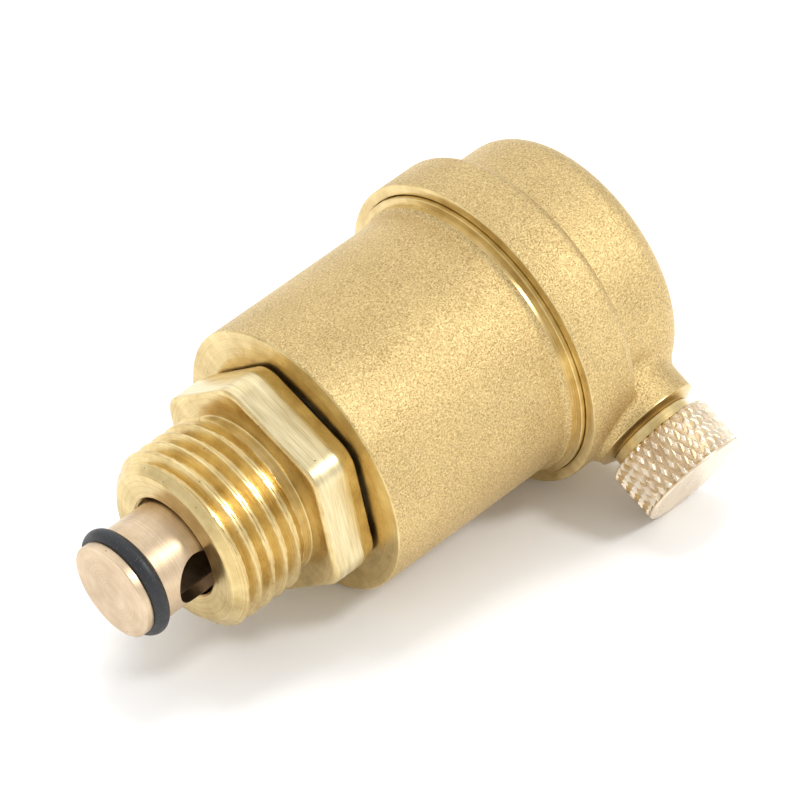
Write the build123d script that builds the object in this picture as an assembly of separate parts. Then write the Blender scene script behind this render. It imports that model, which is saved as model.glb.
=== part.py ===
from build123d import *
from math import acos, cos, degrees, sin
import os

# Automatic air vent on its shut-off valve, with a knurled side outlet. Millimetres, +Z up.
# Heights below are counted from the inlet thread's end face. The row's origin is the middle of the
# inlet thread, so every part is moved down by THREAD_MIDDLE when it is written.
THREAD_MIDDLE = 5.2

# Inlet thread, G1/2 (ISO 228): major diameter 20.955, 14 turns per inch
INLET_THREAD_R = 10.4775
INLET_THREAD_DEPTH = 1.162
INLET_THREAD_PITCH = 1.814
INLET_CREST_WIDTH = 0.36
INLET_FIRST_CREST = 1.58
INLET_CRESTS = 5
INLET_END_R = 8.92
UNDERCUT_R = 9.35
UNDERCUT_BOTTOM = 9.75

# Hexagon of the shut-off valve
HEX_BOTTOM = 11.05
HEX_TOP = 16.8
HEX_FLATS = 24.0
HEX_CORNER_FILLET = 3.2
HEX_FLAT_DIRECTION = 24.6
HEX_TOP_CHAMFER_HEIGHT = 1.7
HEX_TOP_CHAMFER_WIDTH = 0.45
HEX_BOTTOM_CHAMFER = 0.3
SHOULDER_RELIEF_R = 10.6
SHOULDER_RELIEF_DEPTH = 0.05

# Joint between the valve and the vent, M18 x 1.5
JOINT_THREAD_R = 9.0
JOINT_THREAD_TOP = 24.8
JOINT_THREAD_CLEARANCE = 0.1
GASKET_INNER_R = 9.35
GASKET_OUTER_R = 11.0
GASKET_BOTTOM = 16.82
GASKET_TOP = 18.15
GASKET_RECESS_R = 11.1
GASKET_RECESS_TOP = 18.17

# Water way through the valve, and the plunger in it
BORE_R = 5.95
BORE_MOUTH_CHAMFER = 0.25
SPRING_CHAMBER_R = 7.3
SPRING_SEAT = 4.0
PLUNGER_FACE = -8.68
PLUNGER_RIM_R = 5.55
PLUNGER_RIM_THICKNESS = 0.99
PLUNGER_RIM_ROUND = 0.13
PLUNGER_TUBE_R = 5.6
PLUNGER_TUBE_INNER_R = 4.4
PLUNGER_TUBE_FLOOR = -4.5
PLUNGER_TOP = 25.0
WINDOW_R = 3.1
WINDOW_HEIGHT = -0.95
WINDOW_DIRECTION = -26.0
O_RING_SECTION_R = 0.975
O_RING_GROOVE_WIDTH = 1.98
O_RING_GROOVE_R = 4.45
RETAINING_RING_R = 7.05
RETAINING_RING_INNER_R = 5.22
RETAINING_RING_GROOVE_R = 5.2
RETAINING_RING_BOTTOM = 14.02
RETAINING_RING_TOP = 15.2
SPRING_WIRE_R = 0.4
SPRING_MEAN_R = 6.45
SPRING_TURNS = 5

# Float chamber
CHAMBER_BOTTOM = 17.2
CHAMBER_R = 16.05
CHAMBER_EDGE_CHAMFER = 0.25
CHAMBER_INNER_R = 13.5
CHAMBER_FLOOR = 28.0
PLUNGER_STOP = 25.02
STOP_BORE_R = 4.6
FLARE_START = 41.2
FLARE_R = 1.2
COLLAR_RING_R = 16.5
FLANGE_BOTTOM = 42.8
FLANGE_TOP = 44.08
FLANGE_R = 17.28
FLANGE_CHAMFER = 0.08
NECK_R = 15.0
NECK_TOP = 49.0

# Cap
CAP_BOTTOM = 43.35
CAP_BAND_R = 18.6
CAP_BAND_TOP = 50.4
CAP_BAND_FILLET = 1.6
CAP_STEP_FILLET = 0.4
CAP_R = 16.15
CAP_TOP = 60.1
CAP_TOP_FILLET = 3.5
CAP_LIP_CHAMFER = 0.1
CAP_SOCKET_R = 17.37
CAP_SOCKET_TOP = 44.1
CAP_SEAL_R = 16.5
CAP_SEAL_TOP = 45.6
CAP_THREAD_R = 15.1
CAP_THREAD_TOP = 49.2
CAP_INNER_R = 13.9
CAP_CEILING = 56.9
CAP_O_RING_R = 15.75
CAP_O_RING_SECTION_R = 0.735
CAP_O_RING_HEIGHT = 44.83

# Side outlet, along +X
OUTLET_HEIGHT = 52.1
BOSS_R = 6.4
BOSS_END = 19.3
BOSS_FACE_R = 5.1
BOSS_FACE_END = 19.85
BOSS_BORE_R = 3.05
FITTING_R = 3.0
FITTING_NECK_R = 4.95
FITTING_NECK_END = 21.3
FITTING_THREAD_R = 4.0
FITTING_END = 24.9
FITTING_BORE_R = 1.5
SEAT_FACE = 10.35
SEAT_TIP_R = 1.5
SEAT_TIP_END = 11.3
ORIFICE_R = 0.6
ORIFICE_END = 13.0
FITTING_O_RING_AT = 17.0
FITTING_O_RING_SECTION_R = 0.42
FITTING_GROOVE_R = 2.2
FITTING_GROOVE_WIDTH = 0.9

# Knob, screwed on the fitting
KNOB_START = 21.1
KNOB_END = 27.3
KNOB_R = 6.35
KNOB_INNER_ROUND = 0.55
KNOB_OUTER_ROUND = 0.2
KNOB_RECESS_R = 5.2
KNOB_RECESS_END = 21.6
KNOB_THREAD_R = 4.1
KNOB_BORE_END = 26.0
KNOB_SEAL_R = 3.95
KNOB_SEAL_START = 24.92
KNOB_SEAL_END = 25.98

# Float
FLOAT_R = 12.6
FLOAT_WALL = 1.0
FLOAT_BOTTOM = 28.5
FLOAT_SHELL_TOP = 39.8
FLOAT_TOP = 41.0
FLOAT_EDGE_ROUND = 1.5
FLOAT_TRAVEL = 4.0
YOKE_X = 0.28
YOKE_SIZE_X = 2.6
YOKE_SIZE_Y = 6.0
YOKE_BAR = 0.8
YOKE_CHEEK = 1.1
YOKE_SLOT_BOTTOM = 45.2
YOKE_SLOT_TOP = 47.05
FLOAT_STEM_R = 1.5

# Lever: a bell crank. It is drawn closed, then turned down to where it rests with the float.
PIVOT_X = 7.0
PIVOT_Z = 48.1
LEVER_ARM = 7.0
LEVER_SWING = degrees(FLOAT_TRAVEL / LEVER_ARM)
LEVER_HUB_R = 1.5
LEVER_WIDTH = 3.2
LEVER_THICKNESS = 1.0
LEVER_BEAD_R = 0.8
LEVER_BEAD_LENGTH = 3.4
LEVER_POST_X = 8.4
PAD_CUP_R = 2.0
PAD_CUP_START = 8.9
PAD_R = 1.6
PAD_START = 9.4
PAD_END = 10.3
PAD_CUP_LIP = 9.75

# Pivot pin, clips, bracket and its screws
PIN_R = 0.8
PIN_HALF_LENGTH = 4.2
PIN_GROOVE_R = 0.55
PIN_GROOVE_AT = 3.65
CLIP_R = 1.5
CLIP_THICKNESS = 0.35
CLIP_BORE_R = 0.57
LEVER_BORE_R = 0.86
EAR_BORE_R = 0.84
EAR_INNER_Y = 2.35
EAR_THICKNESS = 0.8
EAR_WIDTH = 4.0
EAR_BOTTOM = 46.7
BRACKET_THICKNESS = 0.8
BRACKET_START_X = -4.4
BRACKET_END_X = 9.0
SCREW_XS = (-2.6, 2.0)
SCREW_R = 1.0
SCREW_HOLE_R = 1.05
SCREW_TIP = 58.55
SCREW_HEAD_R = 1.7
SCREW_HEAD_HEIGHT = 1.1
SCREW_SLOT = 0.4


def turned(profile):
    """A body turned about the Z axis from (radius, height) points."""
    outline = Polyline(*[(r, 0, z) for r, z in profile], close=True)
    return revolve(make_face(outline), Axis.Z)


def rod_z(radius, start, end, x=0.0, y=0.0):
    """A round rod along Z."""
    return Pos(x, y, start) * Cylinder(radius, end - start, align=(Align.CENTER, Align.CENTER, Align.MIN))


def rod_x(radius, start, end, height=OUTLET_HEIGHT):
    """A round rod along X at the given height."""
    rod = Cylinder(radius, end - start, align=(Align.CENTER, Align.CENTER, Align.MIN))
    return Pos(start, 0, height) * Rot(0, 90, 0) * rod


def rod_y(radius, start, end, x, z):
    """A round rod along Y."""
    rod = Cylinder(radius, end - start, align=(Align.CENTER, Align.CENTER, Align.MIN))
    return Pos(x, start, z) * Rot(-90, 0, 0) * rod


def block(x0, x1, y0, y1, z0, z1):
    """A box between two opposite corners."""
    return Pos((x0 + x1) / 2, (y0 + y1) / 2, (z0 + z1) / 2) * Box(x1 - x0, y1 - y0, z1 - z0)


def edges_at(shape, kind, height):
    """The shape's edges of one kind whose middle is at a height."""
    return shape.edges().filter_by(kind).filter_by_position(Axis.Z, height - 0.01, height + 0.01)


def circles_at(shape, height, radius):
    """The round edges of one radius at a height."""
    rings = edges_at(shape, GeomType.CIRCLE, height)
    return [edge for edge in rings if abs(edge.radius - radius) < 0.01]


def save(name, shape):
    """Write one part in the row's frame."""
    export_step(Pos(0, 0, -THREAD_MIDDLE) * shape, f"parts/{name}.step")


def thread_outline():
    """Outer profile of the inlet thread: one ridge per pitch, with the crests at full radius."""
    root_r = INLET_THREAD_R - INLET_THREAD_DEPTH
    points = []
    for turn in range(INLET_CRESTS):
        crest = INLET_FIRST_CREST + turn * INLET_THREAD_PITCH
        points.append((INLET_THREAD_R, crest - INLET_CREST_WIDTH / 2))
        points.append((INLET_THREAD_R, crest + INLET_CREST_WIDTH / 2))
        if turn < INLET_CRESTS - 1:
            valley = crest + INLET_THREAD_PITCH / 2
            points.append((root_r, valley - INLET_CREST_WIDTH / 2))
            points.append((root_r, valley + INLET_CREST_WIDTH / 2))
    return points


def make_valve_body():
    """Nipple with the inlet thread, the hexagon and the joint thread."""
    shank = turned(
        [(BORE_R, 0), (INLET_END_R, 0)]
        + thread_outline()
        + [
            (UNDERCUT_R, UNDERCUT_BOTTOM),
            (UNDERCUT_R, HEX_BOTTOM + 1),
            (BORE_R, HEX_BOTTOM + 1),
        ]
    )
    outline = RegularPolygon(HEX_FLATS / 2, 6, major_radius=False, rotation=HEX_FLAT_DIRECTION - 30)
    hexagon = extrude(outline, HEX_TOP - HEX_BOTTOM)
    hexagon = fillet(hexagon.edges().filter_by(Axis.Z), HEX_CORNER_FILLET)
    top = hexagon.faces().sort_by(Axis.Z)[-1]
    hexagon = chamfer(top.edges(), HEX_TOP_CHAMFER_HEIGHT, HEX_TOP_CHAMFER_WIDTH, reference=top)
    hexagon = chamfer(hexagon.faces().sort_by(Axis.Z)[0].edges(), HEX_BOTTOM_CHAMFER)
    relief = rod_z(SHOULDER_RELIEF_R, 0, SHOULDER_RELIEF_DEPTH)
    body = shank + Pos(0, 0, HEX_BOTTOM) * (hexagon - relief)
    body += rod_z(JOINT_THREAD_R, HEX_TOP - 0.5, JOINT_THREAD_TOP)
    body -= rod_z(BORE_R, -1, JOINT_THREAD_TOP + 1)
    body -= rod_z(SPRING_CHAMBER_R, SPRING_SEAT, JOINT_THREAD_TOP + 1)
    body = chamfer(circles_at(body, 0, BORE_R), BORE_MOUTH_CHAMFER)
    return chamfer(circles_at(body, JOINT_THREAD_TOP, JOINT_THREAD_R), 0.8)


def make_plunger():
    """Tube with a closed disc end, an O-ring groove and a cross window."""
    groove_start = PLUNGER_FACE + PLUNGER_RIM_THICKNESS
    groove_end = groove_start + O_RING_GROOVE_WIDTH
    plunger = turned(
        [
            (0, PLUNGER_FACE),
            (PLUNGER_RIM_R, PLUNGER_FACE),
            (PLUNGER_RIM_R, groove_start),
            (O_RING_GROOVE_R, groove_start),
            (O_RING_GROOVE_R, groove_end),
            (PLUNGER_TUBE_R, groove_end),
            (PLUNGER_TUBE_R, RETAINING_RING_BOTTOM),
            (RETAINING_RING_GROOVE_R, RETAINING_RING_BOTTOM),
            (RETAINING_RING_GROOVE_R, RETAINING_RING_TOP),
            (PLUNGER_TUBE_R, RETAINING_RING_TOP),
            (PLUNGER_TUBE_R, PLUNGER_TOP),
            (PLUNGER_TUBE_INNER_R, PLUNGER_TOP),
            (PLUNGER_TUBE_INNER_R, PLUNGER_TUBE_FLOOR),
            (0, PLUNGER_TUBE_FLOOR),
        ]
    )
    window = Pos(0, 0, WINDOW_HEIGHT) * Rot(0, 0, WINDOW_DIRECTION) * Rot(0, 90, 0)
    plunger -= window * Cylinder(WINDOW_R, 4 * PLUNGER_TUBE_R)
    plunger = fillet(circles_at(plunger, PLUNGER_FACE, PLUNGER_RIM_R), PLUNGER_RIM_ROUND)
    plunger = fillet(circles_at(plunger, groove_start, PLUNGER_RIM_R), PLUNGER_RIM_ROUND)
    return fillet(circles_at(plunger, groove_end, PLUNGER_TUBE_R), PLUNGER_RIM_ROUND)


def make_plunger_o_ring():
    """Seal that closes on the bore's mouth."""
    middle = PLUNGER_FACE + PLUNGER_RIM_THICKNESS + O_RING_GROOVE_WIDTH / 2
    return Pos(0, 0, middle) * Torus(O_RING_GROOVE_R + O_RING_SECTION_R + 0.01, O_RING_SECTION_R)


def make_retaining_ring():
    """Ring snapped in the plunger's groove. The spring pushes on it."""
    ring = rod_z(RETAINING_RING_R, RETAINING_RING_BOTTOM + 0.02, RETAINING_RING_TOP - 0.02)
    ring -= rod_z(RETAINING_RING_INNER_R, RETAINING_RING_BOTTOM, RETAINING_RING_TOP)
    return ring


def make_spring():
    """Round-wire closing spring between the valve's shoulder and the retaining ring."""
    bottom = SPRING_SEAT + SPRING_WIRE_R
    height = RETAINING_RING_BOTTOM - SPRING_WIRE_R - bottom
    path = Helix(pitch=height / SPRING_TURNS, height=height, radius=SPRING_MEAN_R)
    section = Plane(origin=path @ 0, z_dir=path % 0) * Circle(SPRING_WIRE_R)
    return Pos(0, 0, bottom) * sweep(section, path=path, is_frenet=True)


def make_gasket():
    """Flat ring between the hexagon and the chamber."""
    return rod_z(GASKET_OUTER_R, GASKET_BOTTOM, GASKET_TOP) - rod_z(
        GASKET_INNER_R, GASKET_BOTTOM - 1, GASKET_TOP + 1
    )


def make_chamber():
    """Float chamber with the joint's female thread, the plunger's stop and the cap's male thread."""
    thread_r = JOINT_THREAD_R + JOINT_THREAD_CLEARANCE
    flare_angle = acos(1 - (COLLAR_RING_R - CHAMBER_R) / FLARE_R)
    flare_end = (COLLAR_RING_R, 0, FLARE_START + FLARE_R * sin(flare_angle))
    flare_middle = (
        CHAMBER_R + FLARE_R * (1 - cos(flare_angle / 2)),
        0,
        FLARE_START + FLARE_R * sin(flare_angle / 2),
    )
    walls = [
        (COLLAR_RING_R, FLANGE_BOTTOM),
        (FLANGE_R - FLANGE_CHAMFER, FLANGE_BOTTOM),
        (FLANGE_R, FLANGE_BOTTOM + FLANGE_CHAMFER),
        (FLANGE_R, FLANGE_TOP),
        (NECK_R, FLANGE_TOP),
        (NECK_R, NECK_TOP),
        (CHAMBER_INNER_R, NECK_TOP),
        (CHAMBER_INNER_R, CHAMBER_FLOOR + 1.5),
        (CHAMBER_INNER_R - 1.5, CHAMBER_FLOOR),
        (STOP_BORE_R, CHAMBER_FLOOR),
        (STOP_BORE_R, PLUNGER_STOP),
        (thread_r, PLUNGER_STOP),
        (thread_r, GASKET_RECESS_TOP),
        (GASKET_RECESS_R, GASKET_RECESS_TOP),
        (GASKET_RECESS_R, CHAMBER_BOTTOM),
        (CHAMBER_R - CHAMBER_EDGE_CHAMFER, CHAMBER_BOTTOM),
        (CHAMBER_R, CHAMBER_BOTTOM + CHAMBER_EDGE_CHAMFER),
        (CHAMBER_R, FLARE_START),
    ]
    flare = ThreePointArc((CHAMBER_R, 0, FLARE_START), flare_middle, flare_end)
    outline = flare + Polyline(flare_end, *[(r, 0, z) for r, z in walls])
    return revolve(make_face(outline), Axis.Z)


def make_cap():
    """Cap with its band, rounded top and side boss."""
    shell = turned(
        [
            (0, CAP_BOTTOM),
            (CAP_BAND_R - CAP_LIP_CHAMFER, CAP_BOTTOM),
            (CAP_BAND_R, CAP_BOTTOM + CAP_LIP_CHAMFER),
            (CAP_BAND_R, CAP_BAND_TOP),
            (CAP_R, CAP_BAND_TOP),
            (CAP_R, CAP_TOP),
            (0, CAP_TOP),
        ]
    )
    shell = fillet(circles_at(shell, CAP_TOP, CAP_R), CAP_TOP_FILLET)
    shell = fillet(circles_at(shell, CAP_BAND_TOP, CAP_BAND_R), CAP_BAND_FILLET)
    shell = fillet(circles_at(shell, CAP_BAND_TOP, CAP_R), CAP_STEP_FILLET)
    shell += rod_x(BOSS_R, 0, BOSS_END)
    face = Cone(BOSS_R, BOSS_FACE_R, BOSS_FACE_END - BOSS_END, align=(Align.CENTER, Align.CENTER, Align.MIN))
    shell += Pos(BOSS_END, 0, OUTLET_HEIGHT) * Rot(0, 90, 0) * face
    for radius, top in (
        (CAP_SOCKET_R, CAP_SOCKET_TOP),
        (CAP_SEAL_R, CAP_SEAL_TOP),
        (CAP_THREAD_R, CAP_THREAD_TOP),
        (CAP_INNER_R, CAP_CEILING),
    ):
        shell -= rod_z(radius, CAP_BOTTOM - 1, top)
    shell -= rod_x(BOSS_BORE_R, CAP_INNER_R - 4, BOSS_FACE_END + 1)
    for x in SCREW_XS:
        shell -= rod_z(SCREW_HOLE_R, CAP_CEILING - 1, SCREW_TIP + 0.05, x)
    return shell


def make_cap_o_ring():
    """Seal between the chamber's neck and the cap."""
    return Pos(0, 0, CAP_O_RING_HEIGHT) * Torus(CAP_O_RING_R, CAP_O_RING_SECTION_R)


def make_outlet_fitting():
    """Fitting through the boss: the valve seat inside, the knob's neck and thread outside."""
    fitting = rod_x(SEAT_TIP_R, SEAT_FACE, SEAT_TIP_END)
    fitting += rod_x(FITTING_R, SEAT_TIP_END, BOSS_FACE_END + 0.02)
    fitting += rod_x(FITTING_NECK_R, BOSS_FACE_END + 0.02, FITTING_NECK_END)
    fitting += rod_x(FITTING_THREAD_R, FITTING_NECK_END, FITTING_END)
    groove = rod_x(FITTING_R + 1, FITTING_O_RING_AT - FITTING_GROOVE_WIDTH / 2,
                   FITTING_O_RING_AT + FITTING_GROOVE_WIDTH / 2)
    groove -= rod_x(FITTING_GROOVE_R, FITTING_O_RING_AT - 1, FITTING_O_RING_AT + 1)
    fitting -= groove
    fitting -= rod_x(ORIFICE_R, SEAT_FACE - 1, ORIFICE_END + 1)
    fitting -= rod_x(FITTING_BORE_R, ORIFICE_END, FITTING_END + 1)
    return fitting


def make_fitting_o_ring():
    """Seal between the fitting and the boss."""
    ring_r = FITTING_GROOVE_R + FITTING_O_RING_SECTION_R + 0.005
    ring = Torus(ring_r, FITTING_O_RING_SECTION_R)
    return Pos(FITTING_O_RING_AT, 0, OUTLET_HEIGHT) * Rot(0, 90, 0) * ring


def make_knob():
    """Blind knob. Its knurl lies within this cylinder."""
    knob = rod_x(KNOB_R, KNOB_START, KNOB_END)
    knob = fillet(knob.faces().sort_by(Axis.X)[0].edges(), KNOB_INNER_ROUND)
    knob = fillet(knob.faces().sort_by(Axis.X)[-1].edges(), KNOB_OUTER_ROUND)
    knob -= rod_x(KNOB_RECESS_R, KNOB_START - 1, KNOB_RECESS_END)
    knob -= rod_x(KNOB_THREAD_R, KNOB_START - 1, KNOB_BORE_END)
    return knob


def make_float_shell():
    """Hollow float, open at the top for its lid."""
    shell = rod_z(FLOAT_R, FLOAT_BOTTOM, FLOAT_SHELL_TOP)
    shell = fillet(shell.faces().sort_by(Axis.Z)[0].edges(), FLOAT_EDGE_ROUND)
    return shell - rod_z(FLOAT_R - FLOAT_WALL, FLOAT_BOTTOM + FLOAT_WALL, FLOAT_SHELL_TOP + 1)


def make_float_lid():
    """Lid with a plug, and a yoke that holds the lever's bead."""
    lid = rod_z(FLOAT_R, FLOAT_SHELL_TOP + 0.01, FLOAT_TOP)
    lid += rod_z(FLOAT_R - FLOAT_WALL - 0.1, FLOAT_SHELL_TOP - 1, FLOAT_SHELL_TOP + 0.5)
    lid += rod_z(FLOAT_STEM_R, FLOAT_TOP - 0.5, YOKE_SLOT_BOTTOM - YOKE_BAR / 2, YOKE_X)
    half_x = YOKE_SIZE_X / 2
    half_y = YOKE_SIZE_Y / 2
    yoke = block(YOKE_X - half_x, YOKE_X + half_x, -half_y, half_y,
                 YOKE_SLOT_BOTTOM - YOKE_BAR, YOKE_SLOT_TOP + YOKE_BAR)
    yoke -= block(YOKE_X - half_x - 1, YOKE_X + half_x + 1, YOKE_CHEEK - half_y, half_y - YOKE_CHEEK,
                  YOKE_SLOT_BOTTOM, YOKE_SLOT_TOP)
    return lid + yoke


def lever_rest():
    """Turns a shape drawn with the valve closed down to its place at rest."""
    pivot = Pos(PIVOT_X, 0, PIVOT_Z)
    return pivot * Rot(0, -LEVER_SWING, 0) * Pos(-PIVOT_X, 0, -PIVOT_Z)


def make_lever():
    """Bell crank with a bead for the float's yoke and a cup for the pad."""
    half = LEVER_WIDTH / 2
    thick = LEVER_THICKNESS / 2
    lever = rod_y(LEVER_HUB_R, -half, half, PIVOT_X, PIVOT_Z)
    arm = block(-LEVER_ARM, 0, -0.8, 0.8, -thick, thick)
    bead = rod_y(LEVER_BEAD_R, -LEVER_BEAD_LENGTH / 2, LEVER_BEAD_LENGTH / 2, -LEVER_ARM, 0)
    lever += Pos(PIVOT_X, 0, PIVOT_Z) * Rot(0, LEVER_SWING / 2, 0) * (arm + bead)
    lever += block(PIVOT_X, LEVER_POST_X + thick, -half, half, PIVOT_Z - thick, PIVOT_Z + thick)
    lever += block(LEVER_POST_X - thick, LEVER_POST_X + thick, -half, half, PIVOT_Z, OUTLET_HEIGHT)
    lever += rod_x(PAD_CUP_R, LEVER_POST_X - thick, PAD_CUP_LIP)
    lever -= rod_x(PAD_R + 0.02, PAD_START, PAD_CUP_LIP + 1)
    lever -= rod_y(LEVER_BORE_R, -LEVER_WIDTH, LEVER_WIDTH, PIVOT_X, PIVOT_Z)
    return lever_rest() * lever


def make_pad():
    """Rubber pad that closes the seat."""
    return lever_rest() * rod_x(PAD_R, PAD_START + 0.01, PAD_END)


def make_pin():
    """Pivot pin with a groove for a clip at each end."""
    pin = rod_y(PIN_R, -PIN_HALF_LENGTH, PIN_HALF_LENGTH, PIVOT_X, PIVOT_Z)
    for side in (-1, 1):
        groove_y = side * PIN_GROOVE_AT
        ring = rod_y(PIN_R + 1, groove_y - CLIP_THICKNESS / 2, groove_y + CLIP_THICKNESS / 2,
                     PIVOT_X, PIVOT_Z)
        ring -= rod_y(PIN_GROOVE_R, groove_y - 1, groove_y + 1, PIVOT_X, PIVOT_Z)
        pin -= ring
    return pin


def make_clips():
    """Two spring clips on the pin."""
    clips = []
    for side in (-1, 1):
        groove_y = side * PIN_GROOVE_AT
        half = CLIP_THICKNESS / 2 - 0.02
        clip = rod_y(CLIP_R, groove_y - half, groove_y + half, PIVOT_X, PIVOT_Z)
        clip -= rod_y(CLIP_BORE_R, groove_y - 1, groove_y + 1, PIVOT_X, PIVOT_Z)
        clip -= block(PIVOT_X - CLIP_BORE_R, PIVOT_X + CLIP_BORE_R, groove_y - 1, groove_y + 1,
                      PIVOT_Z - 2 * CLIP_R, PIVOT_Z)
        clips.append(clip)
    return Compound(children=clips)


def make_bracket():
    """Sheet bracket under the cap's ceiling with two ears for the pin."""
    outer_y = EAR_INNER_Y + EAR_THICKNESS
    plate_bottom = CAP_CEILING - BRACKET_THICKNESS
    bracket = block(BRACKET_START_X, BRACKET_END_X, -outer_y, outer_y, plate_bottom, CAP_CEILING - 0.01)
    for side in (-1, 1):
        low, high = sorted((side * EAR_INNER_Y, side * outer_y))
        ear = block(PIVOT_X - EAR_WIDTH / 2, PIVOT_X + EAR_WIDTH / 2, low, high,
                    EAR_BOTTOM, plate_bottom + 0.1)
        bracket += ear
    bracket -= rod_y(EAR_BORE_R, -2 * outer_y, 2 * outer_y, PIVOT_X, PIVOT_Z)
    for x in SCREW_XS:
        bracket -= rod_z(SCREW_HOLE_R + 0.1, plate_bottom - 1, CAP_CEILING + 1, x)
    return bracket


def make_screws():
    """Two slotted screws that hold the bracket."""
    plate_bottom = CAP_CEILING - BRACKET_THICKNESS - 0.01
    screws = []
    for x in SCREW_XS:
        head_bottom = plate_bottom - SCREW_HEAD_HEIGHT
        screw = rod_z(SCREW_HEAD_R, head_bottom, plate_bottom, x)
        screw += rod_z(SCREW_R, plate_bottom, SCREW_TIP, x)
        screw -= block(x - SCREW_SLOT / 2, x + SCREW_SLOT / 2, -SCREW_HEAD_R, SCREW_HEAD_R,
                       head_bottom - 1, head_bottom + SCREW_SLOT)
        screws.append(screw)
    return Compound(children=screws)


os.makedirs("parts", exist_ok=True)
save("shutoff_valve_body", make_valve_body())
save("shutoff_plunger", make_plunger())
save("plunger_o_ring", make_plunger_o_ring())
save("plunger_retaining_ring", make_retaining_ring())
save("plunger_spring", make_spring())
save("joint_gasket", make_gasket())
save("float_chamber", make_chamber())
save("cap", make_cap())
save("cap_o_ring", make_cap_o_ring())
save("outlet_fitting", make_outlet_fitting())
save("outlet_fitting_o_ring", make_fitting_o_ring())
save("outlet_knob", make_knob())
save("knob_seal", rod_x(KNOB_SEAL_R, KNOB_SEAL_START, KNOB_SEAL_END))
save("float_shell", make_float_shell())
save("float_lid", make_float_lid())
save("lever", make_lever())
save("valve_pad", make_pad())
save("lever_pin", make_pin())
save("lever_pin_clips", make_clips())
save("lever_bracket", make_bracket())
save("bracket_screws", make_screws())
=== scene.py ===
import math

import bmesh
import bpy
import numpy as np
from mathutils import Matrix, Vector


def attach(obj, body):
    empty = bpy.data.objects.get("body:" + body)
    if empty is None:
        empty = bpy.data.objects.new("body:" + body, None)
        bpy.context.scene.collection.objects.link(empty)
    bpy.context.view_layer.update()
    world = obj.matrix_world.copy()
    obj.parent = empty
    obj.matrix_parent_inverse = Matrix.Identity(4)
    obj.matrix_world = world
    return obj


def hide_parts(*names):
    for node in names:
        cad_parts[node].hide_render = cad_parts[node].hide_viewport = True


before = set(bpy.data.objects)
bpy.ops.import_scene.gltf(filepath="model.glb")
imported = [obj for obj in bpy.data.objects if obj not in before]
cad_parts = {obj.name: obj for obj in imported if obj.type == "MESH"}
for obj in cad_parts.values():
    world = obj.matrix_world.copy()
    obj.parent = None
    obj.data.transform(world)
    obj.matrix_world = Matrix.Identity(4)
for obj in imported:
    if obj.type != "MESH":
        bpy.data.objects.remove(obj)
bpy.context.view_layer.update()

# Sizes are millimetres, with heights counted from the inlet thread's end face, as in the part.
# metres() moves them to the part's frame, whose origin is the middle of the inlet thread.
MM = 0.001
THREAD_MIDDLE = 5.2
OUTLET_HEIGHT = 52.1

# Inlet thread, from the end face to the undercut below the hexagon
THREAD_R = 10.4775
THREAD_DEPTH = 1.162
THREAD_PITCH = 1.814
THREAD_END = 9.75
THREAD_PHASE = 1.15
THREAD_CREST_HALF = 0.12
# A flank is half a pitch less this, which is shared by the flats of crest and root
THREAD_FLANK_TRIM = 0.30
THREAD_LEAD_IN_START = 0.02
THREAD_LEAD_IN_SLOPE = 1.18
THREAD_RUN_OUT = 0.55
THREAD_RUN_OUT_RISE = 1.2
THREAD_ROW = 0.045
END_FACE_R = 8.92
UNDERCUT_R = 9.35

# Nipple's bore, and the spigot that the vent screws on to
BORE_R = 5.95
MOUTH_CHAMFER = 0.25
SPRING_CHAMBER_R = 7.3
SPRING_CHAMBER_BOTTOM = 4.0
SPIGOT_R = 9.0
SPIGOT_CHAMFER_BOTTOM = 24.0
SPIGOT_TOP = 24.8
SPIGOT_TOP_R = 8.2

# Hexagon
HEX_BOTTOM = 11.05
HEX_TOP = 16.8
HEX_INRADIUS = 12.0
HEX_CORNER = 3.2
HEX_FLAT_DIRECTION = 24.6
HEX_SHOULDER_R = 9.6
HEX_FACES_R = 11

# Plunger, with its groove for the O-ring, its window and its groove for the retaining ring
PLUNGER_DISC_R = 5.55
PLUNGER_DISC_FACE = -8.68
PLUNGER_GROOVE_R = 4.45
PLUNGER_GROOVE = (-7.69, -5.71)
PLUNGER_R = 5.6
PLUNGER_RING_GROOVE_R = 5.2
PLUNGER_RING_GROOVE = (14.02, 15.2)
PLUNGER_TOP = 25.0
PLUNGER_BORE_R = 4.4
PLUNGER_BORE_BOTTOM = -4.5
WINDOW_R = 3.1
WINDOW_HEIGHT = -0.95
WINDOW_DIRECTION = -26
WINDOW_CUTTER_LENGTH = 24

# O-ring, with the middle of its section
O_RING_R = 5.435
O_RING_HEIGHT = -6.70
O_RING_SECTION_R = 0.975
O_RING_STEPS = 48

# Chamber's top: a cast flare, then the machined ring and flange under the cap
CHAMBER_R = 16.05
FLARE_START = 41.2
FLARE_R = 1.2
RING_R = 16.5
FLANGE_BOTTOM = 42.8
FLANGE_TOP = 44.08
FLANGE_R = 17.28

# Chamber's bottom edge, its inside and the spigot that the cap screws on to
CHAMBER_BOTTOM = 17.2
CHAMBER_EDGE = 0.15
CHAMBER_EDGE_TOP = 17.36
CHAMBER_BORE_R = 13.5
CHAMBER_SPIGOT_R = 15.0
CHAMBER_SPIGOT_TOP = 49.0
GASKET_RECESS_R = 11.1
GASKET_RECESS_TOP = 18.17
JOINT_THREAD_R = 9.1
JOINT_THREAD_TOP = 25.02
WATER_WAY_R = 4.6
CHAMBER_FLOOR = 28.0
CHAMBER_FLOOR_CHAMFER = 1.5
CHAMBER_BLASTED_START = 17.3
CHAMBER_BLASTED_R = 15.8

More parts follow.
